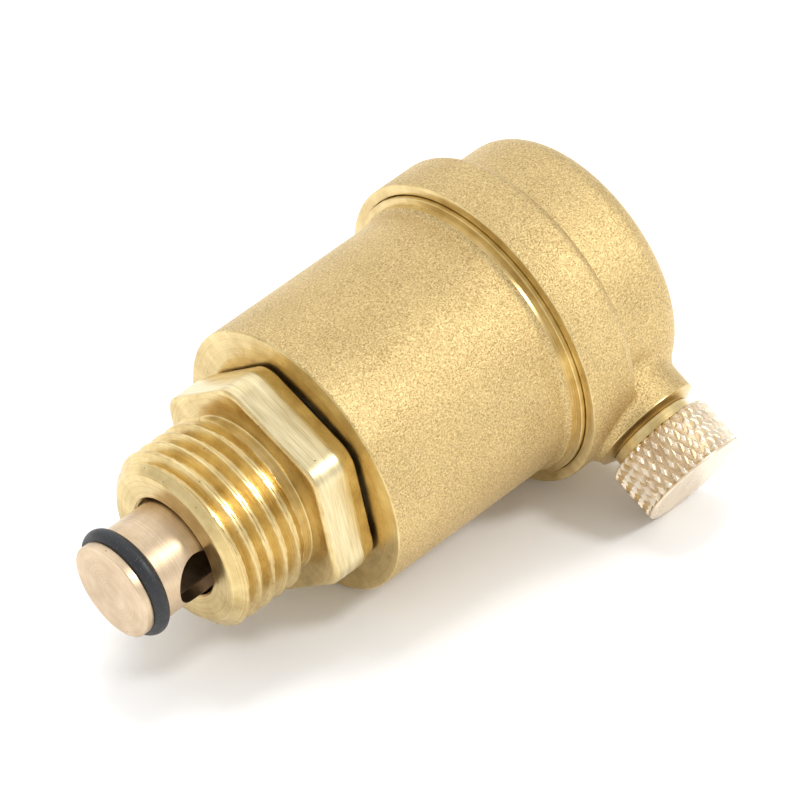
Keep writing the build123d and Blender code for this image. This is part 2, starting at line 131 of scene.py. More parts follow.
# Cap, outside and inside
CAP_BOTTOM = 43.35
BAND_R = 18.6
BAND_TOP = 50.4
BAND_FILLET = 1.6
CAP_R = 16.15
CAP_TOP = 60.1
CAP_TOP_FILLET = 3.5
CAP_STEP_FILLET = 0.35
CAP_VALLEY_DEPTH = 0.22
CAP_CAVITY_R = 13.9
CAP_CAVITY_TOP = 56.9
CAP_THREAD_R = 15.1
CAP_THREAD_TOP = 49.2
CAP_SEAL_R = 16.5
CAP_SEAL_TOP = 45.6
CAP_SOCKET_R = 17.37
CAP_SOCKET_TOP = 44.1
CAP_MACHINED_R = 17.45
CAP_MACHINED_TOP = 49.3

# Side boss
BOSS_R = 6.4
BOSS_END = 19.3
BOSS_FACE_R = 5.1
BOSS_FACE_END = 19.85
BOSS_FILLET = 0.9
# How deep the boss's first ring is sunk into the cap, so that no gap shows beside the cap's step
BOSS_ROOT = 1.2
BOSS_BORE_R = 3.05
BOSS_BORE_START = 16.0

# Outlet fitting
SEAT_R = 0.6
SEAT_FACE = 10.35
SEAT_BACK = 13.0
OUTLET_BORE_R = 1.5
SEAT_NOSE_END = 11.3
FITTING_R = 3.0
FITTING_NECK_START = 19.87
FITTING_NECK_R = 4.95
FITTING_NECK_END = 21.3
FITTING_THREAD_R = 4.0
FITTING_END = 24.9

# Knob
KNOB_START = 21.1
KNOB_END = 27.3
KNOB_R = 6.35
KNURL_STARTS = 34
KNURL_PERIOD = 2.7
KNURL_DEPTH = 0.5
KNURL_FLANK = 0.62
KNURL_ROW = 0.05
KNURL_RUN_OUT = 0.35
KNURL_RUN_OUT_DROP = 0.02
KNOB_EDGE_R = 0.6
KNOB_RECESS_R = 5.2
KNOB_THREAD_R = 4.1
KNOB_RECESS_END = 21.6
KNOB_THREAD_START = 21.7
KNOB_THREAD_END = 26.0

# Columns round a turned piece, round the nipple, and per ridge of the knurl
ROUND = 256
NIPPLE_COLUMNS = 384
COLUMNS_PER_RIDGE = 16

# The most of a side of a profile that one rounding may take
ROUNDING_SHARE = 0.48

# Edges that bend more than this many degrees stay sharp
SHARP_EDGE = 32.0


def metres(points):
    """Points in millimetres above the thread's end face, in the part's frame."""
    points = np.asarray(points, float).reshape(-1, 3)
    return (points - np.array([0, 0, THREAD_MIDDLE])) * MM


# ---------------------------------------------------------------- shapes


def outline(corners, steps=5):
    """A profile through (radius, height, rounding) corners, each rounded by its own radius."""
    points = []
    for i, (r, h, rounding) in enumerate(corners):
        here = Vector((r, h))
        if rounding == 0 or i in (0, len(corners) - 1):
            points.append((r, h))
            continue
        back = Vector(corners[i - 1][:2]) - here
        ahead = Vector(corners[i + 1][:2]) - here
        half = back.angle(ahead) / 2
        reach = min(rounding / math.tan(half), ROUNDING_SHARE * back.length, ROUNDING_SHARE * ahead.length)
        first = here + back.normalized() * reach
        last = here + ahead.normalized() * reach
        for t in np.linspace(0, 1, steps + 1):
            point = first * (1 - t) ** 2 + here * 2 * t * (1 - t) + last * t**2
            points.append((point.x, point.y))
    return points


def grid_faces(rows, columns, wrap_rows=False):
    """Quads of a grid whose columns close on themselves."""
    faces = []
    for row in range(rows if wrap_rows else rows - 1):
        below = row * columns
        above = ((row + 1) % rows) * columns
        for i in range(columns):
            j = (i + 1) % columns
            faces.append((below + i, below + j, above + j, above + i))
    return faces


def solid(name, points, faces, sharp=SHARP_EDGE):
    """A smooth-shaded mesh from millimetre points, with edges sharper than an angle kept."""
    data = bpy.data.meshes.new(name)
    data.from_pydata(metres(points).tolist(), [], faces)
    work = bmesh.new()
    work.from_mesh(data)
    bmesh.ops.remove_doubles(work, verts=work.verts, dist=1e-7)
    bmesh.ops.dissolve_degenerate(work, edges=work.edges, dist=1e-8)
    bmesh.ops.recalc_face_normals(work, faces=work.faces)
    work.to_mesh(data)
    work.free()
    data.shade_smooth()
    data.set_sharp_from_angle(angle=math.radians(sharp))
    obj = bpy.data.objects.new(name, data)
    bpy.context.scene.collection.objects.link(obj)
    return obj


def turned_z(profile):
    """Grid points of a profile turned about the vent's axis."""
    angle = np.arange(ROUND) * 2 * np.pi / ROUND
    rows = [np.stack([r * np.cos(angle), r * np.sin(angle), np.full(ROUND, h)], 1) for r, h in profile]
    return np.concatenate(rows)


def turned_x(profile):
    """Grid points of a (radius, distance) profile turned about the side outlet's axis."""
    angle = np.arange(ROUND) * 2 * np.pi / ROUND
    rows = []
    for r, x in profile:
        rows.append(np.stack([np.full(ROUND, x), r * np.cos(angle), OUTLET_HEIGHT + r * np.sin(angle)], 1))
    return np.concatenate(rows)


def lathe(name, corners, turn=turned_z, closed=False):
    """A turned piece. A closed profile's last point joins its first."""
    profile = outline(corners)
    return solid(name, turn(profile), grid_faces(len(profile), ROUND, closed))


def dress(obj, material, slot, body, *nodes):
    """Give a piece its material, its body and the CAD nodes it stands for."""
    obj.data.materials.append(material)
    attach(obj, body)
    if nodes:
        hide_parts(*nodes)
    return obj


# ---------------------------------------------------------------- materials


# Share of the cells of a pitted surface that have no pit
CLEAN_SHARE = 0.86


class Shader:
    """A node material built up by short calls."""

    def __init__(self, name, **values):
        self.material = bpy.data.materials.new(name)
        self.material.use_nodes = True
        self.tree = self.material.node_tree
        self.main = self.tree.nodes["Principled BSDF"]
        self.set(self.main, values)

    def set(self, node, values):
        for key, value in values.items():
            socket = node.inputs[key] if isinstance(key, int) else node.inputs[key.replace("_", " ")]
            if isinstance(value, bpy.types.NodeSocket):
                self.tree.links.new(value, socket)
            else:
                socket.default_value = value

    def add(self, kind, settings=None, **values):
        node = self.tree.nodes.new(kind)
        for key, value in (settings or {}).items():
            setattr(node, key, value)
        self.set(node, values)
        return node

    def place(self, stretch=(1, 1, 1)):
        """Object coordinates in millimetres, stretched."""
        source = self.add("ShaderNodeTexCoord").outputs["Object"]
        scale = [1000 * s for s in stretch]
        return self.add("ShaderNodeMapping", Vector=source, Scale=scale).outputs["Vector"]

    def math(self, operation, first, second=0.5):
        node = self.add("ShaderNodeMath", {"operation": operation})
        self.set(node, {0: first, 1: second})
        return node.outputs[0]

    def noise(self, where, scale, detail=2.0, roughness=0.5):
        node = self.add("ShaderNodeTexNoise", Vector=where, Scale=scale, Detail=detail, Roughness=roughness)
        return node.outputs["Fac"]

    def ramp(self, value, low, high):
        """A 0 to 1 value from low to high."""
        node = self.add("ShaderNodeMapRange", {"clamp": True}, Value=value)
        self.set(node, {"From Min": low, "From Max": high})
        return node.outputs["Result"]

    def blend(self, amount, first, second):
        node = self.add("ShaderNodeMix", {"data_type": "RGBA"})
        self.set(node, {0: amount, 6: first, 7: second})
        return node.outputs[2]

    def between(self, amount, low, high):
        node = self.add("ShaderNodeMapRange", {"clamp": True}, Value=amount)
        self.set(node, {"To Min": low, "To Max": high})
        return node.outputs["Result"]

    def bump(self, height, depth, normal=None):
        node = self.add("ShaderNodeBump", Height=height, Distance=depth)
        if normal is not None:
            self.set(node, {"Normal": normal})
        return node.outputs["Normal"]

    def turning(self, axis="z"):
        """Coordinates that stay the same round an axis: radius and distance along it."""
        parts = self.add("ShaderNodeSeparateXYZ", Vector=self.place()).outputs
        if axis == "z":
            along, a, b = parts[2], parts[0], parts[1]
        else:
            along, a = parts[0], parts[1]
            b = self.math("SUBTRACT", parts[2], OUTLET_HEIGHT - THREAD_MIDDLE)
        squares = self.math("ADD", self.math("MULTIPLY", a, a), self.math("MULTIPLY", b, b))
        radius = self.math("SQRT", squares)
        return self.add("ShaderNodeCombineXYZ", X=radius, Y=along).outputs[0]

    def specks(self, scale, size):
        """Small scattered pits, 1 inside a pit."""
        cells = self.add("ShaderNodeTexVoronoi", Vector=self.place(), Scale=scale)
        chance = self.add("ShaderNodeSeparateColor", Color=cells.outputs["Color"]).outputs[0]
        rare = self.math("GREATER_THAN", chance, CLEAN_SHARE)
        near = self.math("LESS_THAN", cells.outputs["Distance"], size)
        return self.math("MULTIPLY", rare, near)


PIT_COLOUR = (0.10, 0.065, 0.03, 1)


def machined(name, light, dark, axis="z", rough=0.27, lines=7.0, depth=5.0e-6):
    """Turned brass or bronze: rings of tool marks, a faint stain and a few pits."""
    s = Shader(name, Metallic=1.0)
    rings = s.noise(s.turning(axis), lines, 3.0, 0.65)
    wide = s.noise(s.turning(axis), 1.6, 2.0, 0.5)
    stain = s.noise(s.place(), 0.35, 3.0, 0.6)
    pits = s.specks(1.1, 0.09)
    tone = s.ramp(s.math("ADD", s.math("MULTIPLY", rings, 0.6), s.math("MULTIPLY", stain, 0.7)), 0.4, 0.95)
    colour = s.blend(tone, dark, light)
    colour = s.blend(s.math("MULTIPLY", pits, 0.75), colour, PIT_COLOUR)
    s.set(s.main, {"Base Color": colour})
    wear = s.math("ADD", s.math("MULTIPLY", wide, 0.6), s.math("MULTIPLY", stain, 0.4))
    s.set(s.main, {"Roughness": s.between(wear, rough - 0.07, rough + 0.13)})
    normal = s.bump(rings, depth)
    normal = s.bump(wide, depth * 6, normal)
    s.set(s.main, {"Normal": s.bump(pits, -2.0e-5, normal)})
    return s.material


def milled():
    """The hexagon's flats: straight cutter lines across each flat, with small dark pits."""
    s = Shader("milled_brass", Metallic=1.0)
    lines = s.noise(s.place((0.10, 0.10, 3.4)), 2.2, 4.0, 0.7)
    wide = s.noise(s.place((0.15, 0.15, 1.0)), 1.2, 2.0, 0.5)
    pits = s.specks(1.25, 0.10)
    tone = s.ramp(s.math("ADD", s.math("MULTIPLY", lines, 0.7), s.math("MULTIPLY", wide, 0.5)), 0.35, 0.85)
    colour = s.blend(tone, (0.50, 0.38, 0.17, 1), (0.98, 0.87, 0.57, 1))
    colour = s.blend(s.math("MULTIPLY", pits, 0.8), colour, PIT_COLOUR)
    s.set(s.main, {"Base Color": colour, "Roughness": s.between(wide, 0.24, 0.42)})
    normal = s.bump(lines, 1.2e-5)
    s.set(s.main, {"Normal": s.bump(pits, -2.0e-5, normal)})
    return s.material


def blasted():
    """Shot-blasted brass: a fine dimpled grain with lighter and darker grains."""
    s = Shader("blasted_brass", Metallic=1.0)
    fine = s.noise(s.place(), 5.2, 2.0, 0.7)
    coarse = s.noise(s.place(), 2.3, 2.0, 0.55)
    patch = s.noise(s.place(), 0.12, 2.0, 0.5)
    tone = s.ramp(s.math("ADD", s.math("MULTIPLY", fine, 0.75), s.math("MULTIPLY", patch, 0.12)), 0.26, 0.62)
    colour = s.blend(tone, (0.34, 0.23, 0.085, 1), (0.89, 0.685, 0.34, 1))
    s.set(s.main, {"Base Color": colour, "Roughness": s.between(fine, 0.60, 0.34)})
    normal = s.bump(coarse, 3.0e-5)
    s.set(s.main, {"Normal": s.bump(fine, 9.0e-5, normal)})
    return s.material


def rubber():
    """Moulded black rubber with a little pale dust."""
    s = Shader("black_rubber", Metallic=0.0)
    dust = s.ramp(s.noise(s.place(), 5.0, 3.0, 0.7), 0.60, 0.74)
    film = s.ramp(s.noise(s.place(), 0.5, 3.0, 0.6), 0.35, 0.75)
    colour = s.blend(s.math("MULTIPLY", film, 0.25), (0.010, 0.011, 0.013, 1), (0.05, 0.053, 0.06, 1))
    colour = s.blend(s.math("MULTIPLY", dust, 0.5), colour, (0.24, 0.24, 0.25, 1))
    s.set(s.main, {"Base Color": colour, "Roughness": s.between(film, 0.42, 0.60)})
    s.set(s.main, {"Normal": s.bump(s.noise(s.place(), 6.0, 2.0), 6.0e-6)})
    return s.material


def steel():
    """Drawn and pressed spring steel."""
    s = Shader("spring_steel", Metallic=1.0)
    grain = s.noise(s.place((0.2, 0.2, 4.0)), 2.0, 3.0, 0.6)
    s.set(s.main, {"Base Color": s.blend(grain, (0.42, 0.42, 0.43, 1), (0.66, 0.65, 0.63, 1))})
    s.set(s.main, {"Roughness": s.between(grain, 0.25, 0.45), "Normal": s.bump(grain, 3.0e-6)})
    return s.material


def plastic():
    """Moulded float plastic."""
    s = Shader("float_plastic", Metallic=0.0)
    cloud = s.noise(s.place(), 0.4, 3.0, 0.6)
    s.set(s.main, {"Base Color": s.blend(cloud, (0.66, 0.66, 0.60, 1), (0.80, 0.80, 0.76, 1))})
    s.set(s.main, {"Roughness": s.between(cloud, 0.42, 0.55), "Normal": s.bump(cloud, 1.0e-5)})
    return s.material


BRASS_LIGHT = (0.93, 0.76, 0.40, 1)
BRASS_DARK = (0.48, 0.33, 0.12, 1)
BRONZE_LIGHT = (0.82, 0.66, 0.47, 1)
BRONZE_DARK = (0.50, 0.36, 0.22, 1)
KNOB_LIGHT = (1.0, 0.91, 0.74, 1)
KNOB_DARK = (0.68, 0.54, 0.38, 1)
turned_brass = machined("turned_brass", BRASS_LIGHT, BRASS_DARK)
turned_brass_x = machined("turned_brass_x", BRASS_LIGHT, BRASS_DARK, "x")
turned_bronze = machined("turned_bronze", BRONZE_LIGHT, BRONZE_DARK, rough=0.36, depth=1.0e-6)
knob_bronze = machined("knob_bronze", KNOB_LIGHT, KNOB_DARK, "x", rough=0.26, depth=1.5e-6)
milled_brass = milled()
blasted_brass = blasted()
black_rubber = rubber()
spring_steel = steel()
float_plastic = plastic()


# ---------------------------------------------------------------- shut-off valve


def thread_radius(angle, height):
    """Radius of the right-hand inlet thread, with its lead-in chamfer and its run-out."""
    turn = (height - THREAD_PHASE) / THREAD_PITCH - angle / (2 * np.pi)
    across = np.abs(turn - np.round(turn)) * THREAD_PITCH
    ridge = np.clip((across - THREAD_CREST_HALF) / (THREAD_PITCH / 2 - THREAD_FLANK_TRIM), 0, 1)
    radius = THREAD_R - THREAD_DEPTH * ridge
    chamfer = END_FACE_R + (height - THREAD_LEAD_IN_START) * THREAD_LEAD_IN_SLOPE
    run_out = UNDERCUT_R + np.clip((THREAD_END - height) / THREAD_RUN_OUT, 0, 1) * THREAD_RUN_OUT_RISE
    return np.minimum(np.minimum(radius, chamfer), run_out)


def valve_body():
    """Nipple with a helical thread and a hexagon with rounded corners."""
    angle = np.arange(NIPPLE_COLUMNS) * 2 * np.pi / NIPPLE_COLUMNS
    rows = []

    def ring(radius, height):
        radius = np.broadcast_to(radius, angle.shape)
        level = np.full(NIPPLE_COLUMNS, height)
        rows.append(np.stack([radius * np.cos(angle), radius * np.sin(angle), level], 1))

    mouth = [
        (BORE_R, SPRING_CHAMBER_BOTTOM, 0),
        (BORE_R, MOUTH_CHAMFER, 0.06),
        (BORE_R + MOUTH_CHAMFER, 0.0, 0.06),
        (END_FACE_R - 0.6, 0.0, 0),
    ]
    for r, h in outline(mouth):
        ring(r, h)
    ring(END_FACE_R - 0.05, 0.0)
    for h in np.arange(0.03, THREAD_END, THREAD_ROW):
        ring(thread_radius(angle, h), h)
    undercut = [
        (UNDERCUT_R, THREAD_END, 0),
        (UNDERCUT_R, HEX_BOTTOM, 0.25),
        (UNDERCUT_R + 1.2, HEX_BOTTOM, 0),
    ]
    for r, h in outline(undercut):
        ring(r, h)

    def hexagon(inset):
        """Radius of the hexagon at each angle, drawn in by an inset, with rounded corners."""
        inradius = HEX_INRADIUS - inset
        local = (angle - math.radians(HEX_FLAT_DIRECTION) + np.pi / 6) % (np.pi / 3) - np.pi / 6
        centre = (inradius - HEX_CORNER) / math.cos(math.pi / 6)
        flat = inradius / np.cos(local)
        away = np.pi / 6 - np.abs(local)
        corner = centre * np.cos(away) + np.sqrt(np.maximum(HEX_CORNER**2 - (centre * np.sin(away)) ** 2, 0))
        bend = np.arctan2((inradius - HEX_CORNER) * math.tan(math.pi / 6), inradius)
        return np.where(np.abs(local) < bend, flat, corner)

    # How far the hexagon is drawn in at each height: a chamfer at either end of the flats
    levels = (
        (0.55, HEX_BOTTOM),
        (0.35, HEX_BOTTOM + 0.02),
        (0.10, HEX_BOTTOM + 0.20),
        (0.02, HEX_BOTTOM + 0.33),
        (0.0, HEX_BOTTOM + 0.45),
        (0.0, HEX_TOP - 1.85),
        (0.02, HEX_TOP - 1.72),
        (0.08, HEX_TOP - 1.50),
        (0.37, HEX_TOP - 0.18),
        (0.46, HEX_TOP - 0.03),
        (0.62, HEX_TOP),
    )
    for inset, height in levels:
        ring(hexagon(inset), height)
    spigot = [
        (HEX_SHOULDER_R, HEX_TOP, 0),
        (SPIGOT_R, HEX_TOP, 0.1),
        (SPIGOT_R, SPIGOT_CHAMFER_BOTTOM, 0),
        (SPIGOT_TOP_R, SPIGOT_TOP, 0),
        (SPRING_CHAMBER_R, SPIGOT_TOP, 0.1),
        (SPRING_CHAMBER_R, SPRING_CHAMBER_BOTTOM, 0),
        (BORE_R, SPRING_CHAMBER_BOTTOM, 0),
    ]
    for r, h in outline(spigot):
        ring(r, h)
    body = solid("valve_body_visual", np.concatenate(rows), grid_faces(len(rows), NIPPLE_COLUMNS), 40.0)
    body.data.materials.append(turned_brass)
    body.data.materials.append(milled_brass)
    for face in body.data.polygons:
        height = face.center.z / MM + THREAD_MIDDLE
        flat = HEX_BOTTOM + 0.2 < height < HEX_TOP - 1.6 and abs(face.normal.z) < 0.3
        face.material_index = 1 if flat and face.center.xy.length > HEX_FACES_R * MM else 0
    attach(body, "shutoff_valve")
    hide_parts("shutoff_valve_body")
    return body


def cut(obj, cutter):
    """Take a cutter's shape out of a piece."""
    modifier = obj.modifiers.new("cut", "BOOLEAN")
    modifier.operation = "DIFFERENCE"
    modifier.solver = "EXACT"
    modifier.object = cutter
    graph = bpy.context.evaluated_depsgraph_get()
    data = bpy.data.meshes.new_from_object(obj.evaluated_get(graph))
    obj.modifiers.clear()
    obj.data = data
    data.shade_smooth()
    data.set_sharp_from_angle(angle=math.radians(SHARP_EDGE))
    bpy.data.objects.remove(cutter)
    return obj


def plunger():
    """Tube with a closed disc end, a groove and a cross window."""
    body = lathe(
        "plunger_visual",
        [
            (0, PLUNGER_DISC_FACE, 0),
            (PLUNGER_DISC_R, PLUNGER_DISC_FACE, 0.13),
            (PLUNGER_DISC_R, PLUNGER_GROOVE[0], 0.10),
            (PLUNGER_GROOVE_R, PLUNGER_GROOVE[0], 0.05),
            (PLUNGER_GROOVE_R, PLUNGER_GROOVE[1], 0.05),
            (PLUNGER_R, PLUNGER_GROOVE[1], 0.13),
            (PLUNGER_R, PLUNGER_RING_GROOVE[0], 0),
            (PLUNGER_RING_GROOVE_R, PLUNGER_RING_GROOVE[0], 0),
            (PLUNGER_RING_GROOVE_R, PLUNGER_RING_GROOVE[1], 0),
            (PLUNGER_R, PLUNGER_RING_GROOVE[1], 0),
            (PLUNGER_R, PLUNGER_TOP, 0.1),
            (PLUNGER_BORE_R, PLUNGER_TOP, 0.1),
            (PLUNGER_BORE_R, PLUNGER_BORE_BOTTOM, 0.2),
            (0, PLUNGER_BORE_BOTTOM, 0),
        ],
    )
    direction = math.radians(WINDOW_DIRECTION)
    bpy.ops.mesh.primitive_cylinder_add(vertices=128, radius=WINDOW_R * MM, depth=WINDOW_CUTTER_LENGTH * MM)
    cutter = bpy.context.object
    turn = Matrix.Rotation(direction, 4, "Z") @ Matrix.Rotation(math.pi / 2, 4, "Y")
    cutter.matrix_world = Matrix.Translation((0, 0, (WINDOW_HEIGHT - THREAD_MIDDLE) * MM)) @ turn
    bpy.context.view_layer.update()
    cut(body, cutter)
    return dress(body, turned_bronze, "bronze", "plunger", "shutoff_plunger")


def o_ring():
    """Plunger's O-ring, a round section in its groove."""
    profile = []
    for a in np.linspace(0, 2 * np.pi, O_RING_STEPS, endpoint=False):
        r = O_RING_R + O_RING_SECTION_R * math.cos(a)
        profile.append((r, O_RING_HEIGHT + O_RING_SECTION_R * math.sin(a)))
    ring = solid("plunger_o_ring_visual", turned_z(profile), grid_faces(O_RING_STEPS, ROUND, True))
    return dress(ring, black_rubber, "black_rubber", "plunger", "plunger_o_ring")


valve_body()
plunger()
o_ring()


# ---------------------------------------------------------------- float chamber and cap


def arc(centre_r, centre_h, radius, first, last, steps):
    """Profile points on a round corner, by angle in degrees."""
    points = []
    for a in np.radians(np.linspace(first, last, steps)):
        points.append((centre_r + radius * math.cos(a), centre_h + radius * math.sin(a)))
    return points


def chamber():
    """Blasted cylinder with a cast flare, and a machined ring and flange under the cap."""
    swing = math.degrees(math.acos(1 - (RING_R - CHAMBER_R) / FLARE_R))
    flare = [(r, h, 0) for r, h in arc(CHAMBER_R + FLARE_R, FLARE_START, FLARE_R, 180, 180 - swing, 12)]
    body = lathe(
        "float_chamber_visual",
        [
            (JOINT_THREAD_R, GASKET_RECESS_TOP, 0),
            (GASKET_RECESS_R, GASKET_RECESS_TOP, 0),
            (GASKET_RECESS_R, CHAMBER_BOTTOM, 0.08),
            (CHAMBER_R - CHAMBER_EDGE, CHAMBER_BOTTOM, 0.1),
            (CHAMBER_R, CHAMBER_EDGE_TOP, 0.1),
            *flare,
            (RING_R, FLANGE_BOTTOM, 0.06),
            (FLANGE_R - 0.06, FLANGE_BOTTOM, 0.04),
            (FLANGE_R, FLANGE_BOTTOM + 0.08, 0.04),
            (FLANGE_R, FLANGE_TOP, 0.05),
            (CHAMBER_SPIGOT_R, FLANGE_TOP, 0.1),
            (CHAMBER_SPIGOT_R, CHAMBER_SPIGOT_TOP, 0.2),
            (CHAMBER_BORE_R, CHAMBER_SPIGOT_TOP, 0.2),
            (CHAMBER_BORE_R, CHAMBER_FLOOR + CHAMBER_FLOOR_CHAMFER, 0.5),
            (CHAMBER_BORE_R - CHAMBER_FLOOR_CHAMFER, CHAMBER_FLOOR, 0.5),
            (WATER_WAY_R, CHAMBER_FLOOR, 0.1),
            (WATER_WAY_R, JOINT_THREAD_TOP, 0.1),
            (JOINT_THREAD_R, JOINT_THREAD_TOP, 0.1),
        ],
        closed=True,
    )
    body.data.materials.append(blasted_brass)
    body.data.materials.append(turned_brass)
    for face in body.data.polygons:
        height = face.center.z / MM + THREAD_MIDDLE
        outside = face.center.xy.length > CHAMBER_BLASTED_R * MM
        outer = CHAMBER_BLASTED_START < height < flare[-1][1] and outside
        face.material_index = 0 if outer else 1
    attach(body, "vent")
    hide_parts("float_chamber")
    return body


def cap_radius(height):
    """Outer radius of the cap at a height, for meeting the boss with it."""
    height = np.asarray(height, float)
    fillet = BAND_TOP - BAND_FILLET
    rise = np.clip(height - fillet, 0, BAND_FILLET)
    band = BAND_R - BAND_FILLET + np.sqrt(np.maximum(BAND_FILLET**2 - rise**2, 0))
    crown = CAP_TOP - CAP_TOP_FILLET
    rise = np.clip(height - crown, 0, CAP_TOP_FILLET)
    upper = CAP_R - CAP_TOP_FILLET + np.sqrt(np.maximum(CAP_TOP_FILLET**2 - rise**2, 0))
    return np.where(height < BAND_TOP, np.maximum(band, upper), upper)


def cap():
    """Blasted shell of the cap, with its machined lower face and its cavity."""
    # The lower edge has a small chamfer on either side.
    profile = [(CAP_SOCKET_R, 43.42), (17.42, 43.36), (17.5, CAP_BOTTOM), (BAND_R - 0.12, CAP_BOTTOM)]
    profile += [(BAND_R - 0.04, 43.39), (BAND_R, 43.47)]
    profile += arc(BAND_R - BAND_FILLET, BAND_TOP - BAND_FILLET, BAND_FILLET, 0, 90, 14)
    # The step up to the narrower part is a soft valley, a little below the band's shoulder.
    valley = BAND_TOP - CAP_VALLEY_DEPTH
    profile += [(CAP_R + 0.72, BAND_TOP - 0.06), (CAP_R + 0.55, valley + 0.04)]
    profile += arc(CAP_R + CAP_STEP_FILLET, valley + CAP_STEP_FILLET, CAP_STEP_FILLET, 270, 180, 10)
    profile += arc(CAP_R - CAP_TOP_FILLET, CAP_TOP - CAP_TOP_FILLET, CAP_TOP_FILLET, 0, 90, 24)
    profile += [(6.0, CAP_TOP), (0, CAP_TOP), (0, CAP_CAVITY_TOP), (CAP_CAVITY_R, CAP_CAVITY_TOP)]
    profile += [(CAP_CAVITY_R, CAP_THREAD_TOP), (CAP_THREAD_R, CAP_THREAD_TOP), (CAP_THREAD_R, CAP_SEAL_TOP)]
    profile += [(CAP_SEAL_R, CAP_SEAL_TOP), (CAP_SEAL_R, CAP_SOCKET_TOP), (CAP_SOCKET_R, CAP_SOCKET_TOP)]
    shell = solid("cap_visual", turned_z(profile), grid_faces(len(profile), ROUND, True))
    shell.data.materials.append(blasted_brass)
    shell.data.materials.append(turned_brass)
    for face in shell.data.polygons:
        height = face.center.z / MM + THREAD_MIDDLE
        inside = face.center.xy.length < CAP_MACHINED_R * MM and height < CAP_MACHINED_TOP
        face.material_index = 1 if inside or height < CAP_BOTTOM + 0.1 else 0
    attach(shell, "vent")
    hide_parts("cap")
    return shell


def boss():
    """Blasted side boss that runs into the cap with a cast fillet."""
    around = np.arange(ROUND) * 2 * np.pi / ROUND
    rows = []
    for t in np.linspace(0, math.pi / 2, 12):
        radius = BOSS_R + BOSS_FILLET * (1 - math.sin(t))
        y = radius * np.cos(around)
        z = OUTLET_HEIGHT + radius * np.sin(around)
        wall = np.sqrt(np.maximum(cap_radius(z) ** 2 - y**2, 0))
        x = wall + BOSS_FILLET * (1 - math.cos(t)) - (BOSS_ROOT if t == 0 else 0)
        rows.append(np.stack([np.minimum(x, BOSS_END), y, z], 1))
    y = BOSS_R * np.cos(around)
    z = OUTLET_HEIGHT + BOSS_R * np.sin(around)
    rows.append(np.stack([np.full(ROUND, BOSS_END), y, z], 1))
    body = solid("boss_visual", np.concatenate(rows), grid_faces(len(rows), ROUND))
    return dress(body, blasted_brass, "blasted_brass", "vent")


def boss_face():
    """Machined end of the boss, a shallow cone."""
    ring = lathe(
        "boss_face",
        [
            (BOSS_R + 0.02, BOSS_END - 0.1, 0),
            (BOSS_R + 0.01, BOSS_END, 0.05),
            (BOSS_FACE_R, BOSS_FACE_END, 0.1),
            (BOSS_BORE_R, BOSS_FACE_END, 0.1),
            (BOSS_BORE_R, BOSS_BORE_START, 0),
        ],
        turn=turned_x,
    )
    return dress(ring, turned_brass_x, "machined_brass", "vent")


def fitting():
    """Outlet fitting: seat, neck and the knob's thread."""
    body = lathe(
        "outlet_fitting_visual",
        [
            (SEAT_R, SEAT_FACE, 0),
            (OUTLET_BORE_R, SEAT_FACE, 0.1),
            (OUTLET_BORE_R, SEAT_NOSE_END, 0.1),
            (FITTING_R, SEAT_NOSE_END, 0.1),
            (FITTING_R, FITTING_NECK_START, 0.05),
            (FITTING_NECK_R, FITTING_NECK_START, 0.1),
            (FITTING_NECK_R, FITTING_NECK_END, 0.1),
            (FITTING_THREAD_R, FITTING_NECK_END, 0.05),
            (FITTING_THREAD_R, FITTING_END, 0.3),
            (OUTLET_BORE_R, FITTING_END, 0.1),
            (OUTLET_BORE_R, SEAT_BACK, 0.1),
            (SEAT_R, SEAT_BACK, 0),
        ],
        turn=turned_x,
        closed=True,
    )
    return dress(body, turned_brass_x, "machined_brass", "vent", "outlet_fitting")


def knob():
    """Blind knob with a diamond knurl."""
    columns = KNURL_STARTS * COLUMNS_PER_RIDGE
    around = np.arange(columns) * 2 * np.pi / columns
    rows = []

    def ring(radius, x):
        radius = np.broadcast_to(radius, around.shape)
        y = radius * np.cos(around)
        z = OUTLET_HEIGHT + radius * np.sin(around)
        rows.append(np.stack([np.full(columns, x), y, z], 1))

    recess = [
        (KNOB_THREAD_R, KNOB_THREAD_END, 0),
        (KNOB_THREAD_R, KNOB_THREAD_START, 0.1),
        (KNOB_RECESS_R, KNOB_RECESS_END, 0.1),
        (KNOB_RECESS_R, KNOB_START, 0.1),
        (KNOB_R - 0.75, KNOB_START, 0),
    ]
    for r, x in outline(recess):
        ring(r, x)
    for x in np.arange(KNOB_START, KNOB_END - 0.10, KNURL_ROW):
        from_start = x - KNOB_START
        inward = KNOB_EDGE_R - min(from_start, KNOB_EDGE_R)
        envelope = KNOB_R - KNOB_EDGE_R + math.sqrt(KNOB_EDGE_R**2 - inward**2)
        first = around * KNURL_STARTS / (2 * np.pi) + from_start / KNURL_PERIOD
        second = around * KNURL_STARTS / (2 * np.pi) - from_start / KNURL_PERIOD
        grooves = np.minimum(np.abs(first % 1 - 0.5), np.abs(second % 1 - 0.5)) * 2
        ridge = np.clip(grooves / KNURL_FLANK, 0, 1)
        end = np.clip((KNOB_END - 0.25 - x) / KNURL_RUN_OUT, 0, 1)
        ring(envelope - KNURL_DEPTH * (1 - ridge) * end - KNURL_RUN_OUT_DROP * (1 - end), x)
    end_face = [
        (KNOB_R - 0.03, KNOB_END - 0.10, 0),
        (KNOB_R - 0.10, KNOB_END, 0.05),
        (4.0, KNOB_END, 0),
        (1.5, KNOB_END, 0),
    ]
    for r, x in outline(end_face):
        ring(r, x)
    ring(0.0, KNOB_END)
    body = solid("outlet_knob_visual", np.concatenate(rows), grid_faces(len(rows), columns), 28.0)
    return dress(body, knob_bronze, "bronze", "knob", "outlet_knob")


chamber()
cap()
boss()
boss_face()
fitting()
knob()

